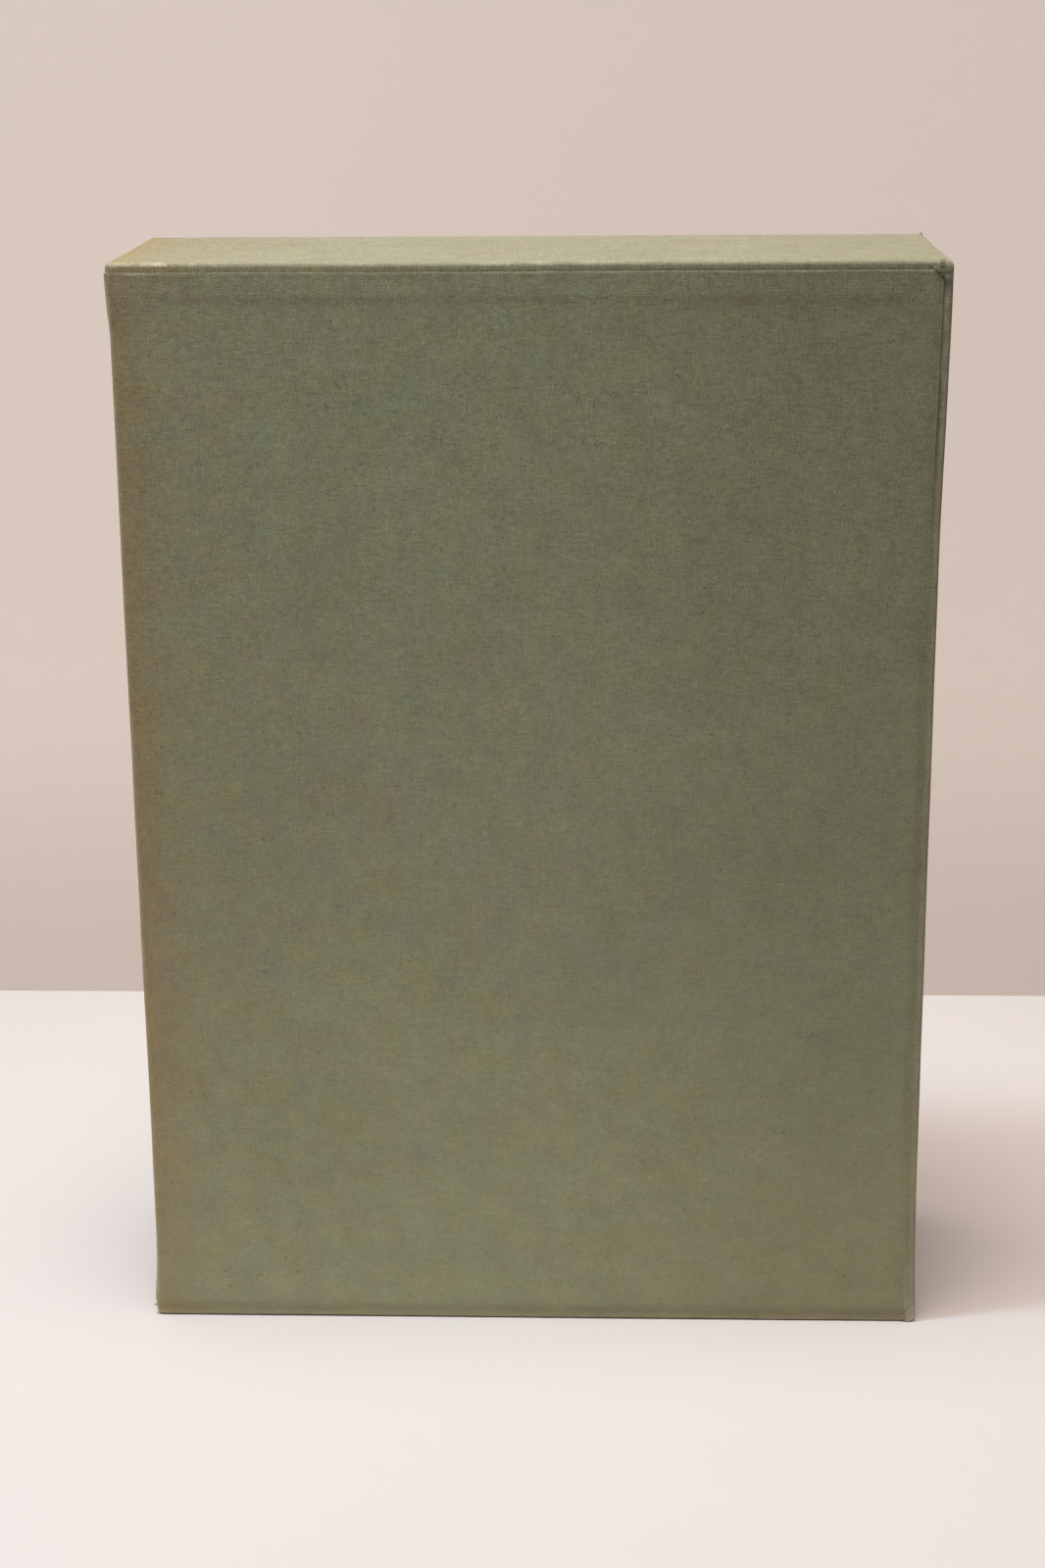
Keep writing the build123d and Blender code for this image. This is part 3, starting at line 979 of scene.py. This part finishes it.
def make_strip():
    """The edge strip, with its turn-overs, turn-ins and corner tucks."""
    sizes = settings().sizes
    outline, over = strip_lines()
    web_start = over.fences[2] - (abs(lined_y) - abs(front_y) + sizes.edge_radius)
    web_end = over.fences[-1] - web_start
    across = mesh_lines(sorted([*over.fences, web_start, web_end]), sizes.fine, sizes.coarse)
    along = mesh_lines(outline.fences, sizes.fine, sizes.coarse)
    strip = flat_sheet("book_cloth_edge_strip", across, along)
    hair = 0.001 * MM
    first, last = outline.fences[2] - hair, outline.fences[-3] + hair
    remove_faces(
        strip,
        lambda middle: not first < middle.y < last and not web_start < middle.x < web_end,
    )
    keep_threads(strip)
    for vertex in strip.data.vertices:
        side = over.at(vertex.co.x, cloth)
        on_case = outline.at(vertex.co.y, -side.y)
        vertex.co = (on_case.x, side.x, on_case.y)
    merge_points(strip, 0.01 * MM)
    front_tucks = [corner_tuck("tuck_head", True), corner_tuck("tuck_tail", False)]
    tucks = front_tucks + [mirrored_copy(tuck, tuck.name + "_back") for tuck in front_tucks]
    select_only(strip)
    for tuck in tucks:
        tuck.select_set(True)
    bpy.ops.object.join()
    return strip


def loose_threads(name, root, away, seed):
    """A few frayed thread ends that stand out of a rubbed corner."""
    wear = settings().wear
    thread_radius = 0.09 * MM
    curve = bpy.data.curves.new(name, "CURVE")
    curve.dimensions = "3D"
    curve.bevel_depth = thread_radius
    curve.bevel_resolution = 1
    curve.resolution_u = 4
    curve.use_fill_caps = True
    for index in range(wear.fray_count):
        spread = noise_vector(Vector((index * 3.1 + seed, seed, 0.5)))
        side = noise_vector(Vector((seed, index * 2.3 + seed, 1.5)))
        reach = wear.fray_length * (0.55 + 0.5 * abs(spread.x + side.y))
        start = root + side * 0.5 * MM - away * 0.4 * MM
        tip = start + (away + spread * 0.7).normalized() * reach
        bow = (start + tip) / 2 + side * 0.45 * MM
        spline = curve.splines.new("NURBS")
        spline.points.add(3)
        places = (start, start + away * 0.3 * reach, bow + away * 0.2 * reach, tip)
        for point, place, thickness in zip(spline.points, places, (1.2, 1.0, 0.8, 0.35)):
            point.co = (*place, 1)
            point.radius = thickness
        spline.order_u = 3
        spline.use_endpoint_u = True
    threads = bpy.data.objects.new(name, curve)
    bpy.context.collection.objects.link(threads)
    select_only(threads)
    bpy.ops.object.convert(target="MESH")
    threads = bpy.context.object
    threads.data.materials.append(bpy.data.materials["raw_cloth_edge"])
    bpy.ops.object.shade_smooth_by_angle(angle=SMOOTH_BELOW)
    return threads


# The side cloths

def side_line():
    """A side cloth's way: out of the mouth, round its edge and over the board to the spine."""
    sizes = settings().sizes
    inside_x = mouth_x + sizes.side_turn_in
    points = [(inside_x, lined_y), (mouth_x, lined_y), (mouth_x, front_y), (side_high.x, front_y)]
    return FoldLine(points, (0, sizes.edge_radius))


def layers_under(point):
    """How much of the strip's turn-over lies under a point of a side cloth, from 0 to 1."""
    uneven_size, uneven_mm = 22 * MM, 0.7
    sizes = settings().sizes
    at_mouth = 1 - smooth((point.x - mouth_x) / sizes.strip_turn_in)
    reach = sizes.turn_over + noise.noise(point / uneven_size) * uneven_mm * MM
    ear = at_mouth * sizes.mouth_ear
    head_slope = sizes.head_step + at_mouth * (sizes.soft_step - sizes.head_step)
    by_head = 1 - smooth((strip_high.z - point.z - reach - ear) / head_slope + 0.5)
    by_tail = 1 - smooth((point.z - strip_low.z - reach) / sizes.soft_step + 0.5)
    by_spine = 1 - smooth((strip_high.x - point.x - reach) / sizes.soft_step + 0.5)
    return 1 - (1 - by_head) * (1 - by_tail) * (1 - by_spine)


def pressed_in(point):
    """How far a side cloth's cut edge is pressed down into the strip, from 0 to 1."""
    width, deepest = 1.3 * MM, 0.85
    by_spine = bell(side_high.x - point.x, width) * (1 - seam_shows(point.z))
    by_tail = bell(point.z - side_low.z, width)
    from_clip = (side_high.x - point.x + point.z - side_low.z - settings().sizes.tail_clip) / math.sqrt(2)
    by_clip = bell(max(from_clip, 0.0), width)
    return deepest * max(by_spine, by_tail, by_clip)


def flat_side_cloth(line):
    """The front side cloth before it is folded, with its corners cut off."""
    sizes = settings().sizes
    far = line.fences[-1]
    low, high = side_low.z, side_high.z
    mitre = sizes.turn_in_mitre
    step_off = far - sizes.turn_over + strip_high.x - side_high.x
    high_step = strip_high.z - sizes.turn_over
    across = [0.0, mitre, *line.fences[1:-1], step_off, far - sizes.head_clip, far]
    along = [
        low, low + sizes.head_clip, strip_low.z + sizes.turn_over,
        high_step - sizes.head_step / 2, high_step + sizes.head_step / 2, high - sizes.head_clip, high,
    ]
    lines = [mesh_lines(sorted(fences), sizes.fine, sizes.coarse) for fences in (across, along)]
    sheet = flat_sheet("book_cloth_front_side", *lines)
    cut(sheet, (far - sizes.tail_clip, low), (1, -1))
    cut(sheet, (far - sizes.head_clip, high), (1, 1))
    cut(sheet, (mitre, low), (-1, -1))
    cut(sheet, (mitre, high), (-1, 1))
    keep_threads(sheet)
    return sheet


def make_side_cloth():
    """The front side cloth, folded round its board and over the strip's turn-over."""
    sizes = settings().sizes
    line = side_line()
    sheet = flat_side_cloth(line)
    inside, shelf = line.fences[2], line.fences[3]
    narrowing = floor_z + 2 * cloth - side_low.z
    middle = (side_low.z + side_high.z) / 2
    half = middle - side_low.z
    for vertex in sheet.data.vertices:
        distance, height = vertex.co.x, vertex.co.y
        drawn_in = 1 - smooth((distance - inside) / (shelf - inside))
        height -= math.copysign(narrowing * drawn_in, height - middle) * abs(height - middle) / half
        flat = line.at(distance, cloth)
        over = 0.0
        if distance > inside:
            place = Vector((flat.x, flat.y, height))
            infill = sizes.infill * smooth((distance - inside) / sizes.mouth_ear)
            layers = infill + (1 - infill) * layers_under(place)
            over = layers * (1 - pressed_in(place))
        on_case = line.at(distance, cloth * (1 + over))
        vertex.co = (on_case.x, on_case.y, height)
    return sheet


# Operators

def finish_nodes(kind, material):
    """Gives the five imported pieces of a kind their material."""
    for side in ("front", "back", "spine", "head", "tail"):
        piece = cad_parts[f"{side}_{kind}"]
        piece.data.materials.clear()
        piece.data.materials.append(material)


class SLIPCASE_OT_finishes(Operator):
    """Make the shared node groups and the materials of the cloth"""

    bl_idname = "slipcase.finishes"
    bl_label = "Cloth finishes"

    def execute(self, context):
        weave_group()
        mottle_group()
        wear_group()
        raw_edge()
        book_cloth()
        return {"FINISHED"}


class SLIPCASE_OT_boards(Operator):
    """Finish the five grey boards"""

    bl_idname = "slipcase.boards"
    bl_label = "Boards"

    def execute(self, context):
        finish_nodes("board", pulp_board())
        return {"FINISHED"}


class SLIPCASE_OT_linings(Operator):
    """Finish the five lining papers"""

    bl_idname = "slipcase.linings"
    bl_label = "Lining papers"

    def execute(self, context):
        finish_nodes("lining", lining_paper())
        return {"FINISHED"}


class SLIPCASE_OT_edge_strip(Operator):
    """Fold the edge strip round the head, spine and tail, and fray its worst corners"""

    bl_idname = "slipcase.edge_strip"
    bl_label = "Edge strip"

    def execute(self, context):
        strip = make_strip()
        finish_cloth(strip, strip_seams_and_edge_shade)
        outline, over = strip_lines()
        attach(strip, "root")
        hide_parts("edge_strip")
        at_head = Vector((strip_high.x - 1.2 * MM, strip_high.y - 1.2 * MM, strip_high.z))
        at_mouth = Vector((strip_low.x - 0.3 * MM, -strip_high.y + MM, 3 * MM))
        corners = (
            ("loose_threads_head", at_head, Vector((-0.1, 0.2, 1))),
            ("loose_threads_mouth", at_mouth, Vector((-1, -0.1, 0.3))),
        )
        for index, (name, root, away) in enumerate(corners):
            fray = loose_threads(name, settle(root), away.normalized(), 5.3 * (index + 1))
            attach(fray, "root")
        return {"FINISHED"}


class SLIPCASE_OT_side_cloths(Operator):
    """Fold a side cloth over each side and into the mouth"""

    bl_idname = "slipcase.side_cloths"
    bl_label = "Side cloths"

    def execute(self, context):
        front = make_side_cloth()
        back = mirrored_copy(front, "book_cloth_back_side")
        flat = (side_line().fences[-1], side_high.z - side_low.z)
        for sheet, side in ((front, "front"), (back, "back")):
            finish_cloth(sheet, side_dirt)
            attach(sheet, "root")
            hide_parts(side + "_side_cloth")
        return {"FINISHED"}


# The stage

def soft_lamp(name, size, place, watts, spread, light):
    """A square soft light of a colour, that points at the case."""
    lamp = bpy.data.lights.new(name, "AREA")
    lamp.shape = "SQUARE"
    lamp.size = size
    lamp.energy = watts
    lamp.spread = math.radians(spread)
    lamp.color = light
    hung = bpy.data.objects.new(name, lamp)
    bpy.context.collection.objects.link(hung)
    hung.location = place
    hung.rotation_euler = (case_middle - Vector(place)).to_track_quat("-Z", "Y").to_euler()


def seen_directly(table):
    """1 for what the camera sees, also in glass and gloss, and 0 for light that falls on things."""
    seen = table.add("ShaderNodeLightPath").outputs
    return table.most(table.most(seen["Is Camera Ray"], seen["Is Glossy Ray"]), seen["Is Transmission Ray"])


def glow_far_off(table, place):
    """The floor's glow: none by the case, and rising to the far end of the floor."""
    near, far, strongest = 0.4, 1.35, 0.72
    return table.ramp(table.vector("LENGTH", place), near, far, 0.0, strongest)


def glow_upwards(table, place):
    """The backdrop's glow: less down by the floor, and a little less to the right."""
    glow = settings().stage.wall_glow
    parts = table.split(place)
    light_level_by_height = table.ramp(parts["Z"], -case_half.z, -20 * MM, 0.73 * glow, glow)
    return table.times(light_level_by_height, table.ramp(parts["X"], -160 * MM, 160 * MM, 1.03, 0.97))


def plain_stage_material(name, value, glow, cast=0.0):
    """A matt stage surface, whose glow the camera sees and things around it get a share of."""
    made, table, surface = new_material(name)
    place = table.place()
    grain = table.noise(place, STAGE_CLOUDS, 2.0, 0.5)
    dark = tuple(part * 0.97 for part in value)
    mixed = table.mix(grain, value, dark)
    table.feed_all(surface, {"Base Color": mixed, "Roughness": 0.9, "Specular IOR Level": 0.1})
    strength = table.times(table.most(seen_directly(table), cast), glow(table, place))
    glowing = table.add("ShaderNodeEmission", {"Color": value, "Strength": strength})
    shader = next(node for node in table.tree.nodes if node.type == "BSDF_PRINCIPLED")
    both = table.add("ShaderNodeAddShader", {0: shader.outputs[0], 1: glowing.outputs[0]})
    facing = table.add("ShaderNodeNewGeometry").outputs["Backfacing"]
    clear = table.add("ShaderNodeBsdfTransparent")
    one_sided = table.add("ShaderNodeMixShader", {0: facing, 1: both.outputs[0], 2: clear.outputs[0]})
    output = next(node for node in table.tree.nodes if node.type == "OUTPUT_MATERIAL")
    table.feed(output.inputs["Surface"], one_sided.outputs[0])
    return made


def room():
    """The world: a little light from all around, and a pale backdrop beyond the stage."""
    stage, colours = settings().stage, settings().colours
    world = bpy.data.worlds.new("room")
    world.use_nodes = True
    world.node_tree.nodes.clear()
    table = NodeTable(world.node_tree)
    paler = 1.3
    lit = {"Color": colours.room, "Strength": stage.room_light}
    shown = {"Color": colours.wall, "Strength": paler * stage.wall_glow}
    light, backdrop = [table.add("ShaderNodeBackground", inputs).outputs[0] for inputs in (lit, shown)]
    both = table.add("ShaderNodeMixShader", {0: seen_directly(table), 1: light, 2: backdrop})
    table.add("ShaderNodeOutputWorld", {"Surface": both.outputs[0]})
    return world


def stage_plane(name, material, **placing):
    """A wide flat surface of the stage, with its place and turn kept in its mesh."""
    select_none()
    bpy.ops.mesh.primitive_plane_add(size=settings().stage.stage_width, **placing)
    plane = bpy.context.object
    plane.name = name
    bpy.ops.object.transform_apply(location=True, rotation=True, scale=False)
    plane.data.materials.append(material)
    return plane


class SLIPCASE_OT_stage(Operator):
    """Set up the floor, the backdrop, the lamps and the camera"""

    bl_idname = "slipcase.stage"
    bl_label = "Stage"

    def execute(self, context):
        stage, colours = settings().stage, settings().colours
        floor_paint = plain_stage_material("floor_paint", colours.floor, glow_far_off)
        wall_paint = plain_stage_material("backdrop_paint", colours.wall, glow_upwards, stage.wall_cast)
        floor = stage_plane("floor", floor_paint)
        behind = (0, stage.wall_place, stage.stage_width / 2)
        wall = stage_plane("backdrop", wall_paint, location=behind, rotation=(RIGHT_ANGLE, 0, 0))
        soft_lamp(
            "top_light", size=0.8, place=(-0.1, -0.2, 1.6),
            watts=stage.top_light, spread=60, light=(1.0, 0.9, 0.81),
        )
        soft_lamp(
            "left_light", size=0.14, place=(-0.54, -0.2, 1.16),
            watts=stage.left_light, spread=180, light=(0.53, 0.81, 1.0),
        )
        context.scene.world = room()
        camera = bpy.data.objects.new("camera", bpy.data.cameras.new("camera"))
        context.collection.objects.link(camera)
        camera.data.lens = stage.camera_lens
        camera.data.clip_start = 10 * MM
        camera.location = stage.camera_place
        aimed = Euler((RIGHT_ANGLE - stage.camera_pitch, 0, stage.camera_yaw)).to_matrix()
        camera.rotation_euler = (aimed @ Matrix.Rotation(stage.camera_roll, 3, "Z")).to_euler()
        context.scene.camera = camera
        context.scene.view_settings.view_transform = "Standard"
        return {"FINISHED"}


class SLIPCASE_PT_panel(Panel):
    """Lists the steps in the sidebar"""

    bl_idname = "SLIPCASE_PT_panel"
    bl_label = "Slipcase"
    bl_space_type = "VIEW_3D"
    bl_region_type = "UI"
    bl_category = "Slipcase"

    def draw(self, context):
        for step in steps:
            self.layout.operator(step.bl_idname)


steps = (
    SLIPCASE_OT_finishes,
    SLIPCASE_OT_boards,
    SLIPCASE_OT_linings,
    SLIPCASE_OT_edge_strip,
    SLIPCASE_OT_side_cloths,
    SLIPCASE_OT_stage,
)
classes = (ClothSizes, WearSizes, Colours, StageSizes, SlipcaseSettings, *steps, SLIPCASE_PT_panel)


def register():
    for one in classes:
        bpy.utils.register_class(one)
    bpy.types.Scene.slipcase = PointerProperty(type=SlipcaseSettings)


def unregister():
    del bpy.types.Scene.slipcase
    for one in reversed(classes):
        bpy.utils.unregister_class(one)


def main():
    register()
    bpy.ops.slipcase.finishes()
    bpy.ops.slipcase.boards()
    bpy.ops.slipcase.linings()
    bpy.ops.slipcase.edge_strip()
    bpy.ops.slipcase.side_cloths()
    bpy.ops.slipcase.stage()


if __name__ == "__main__":
    main()
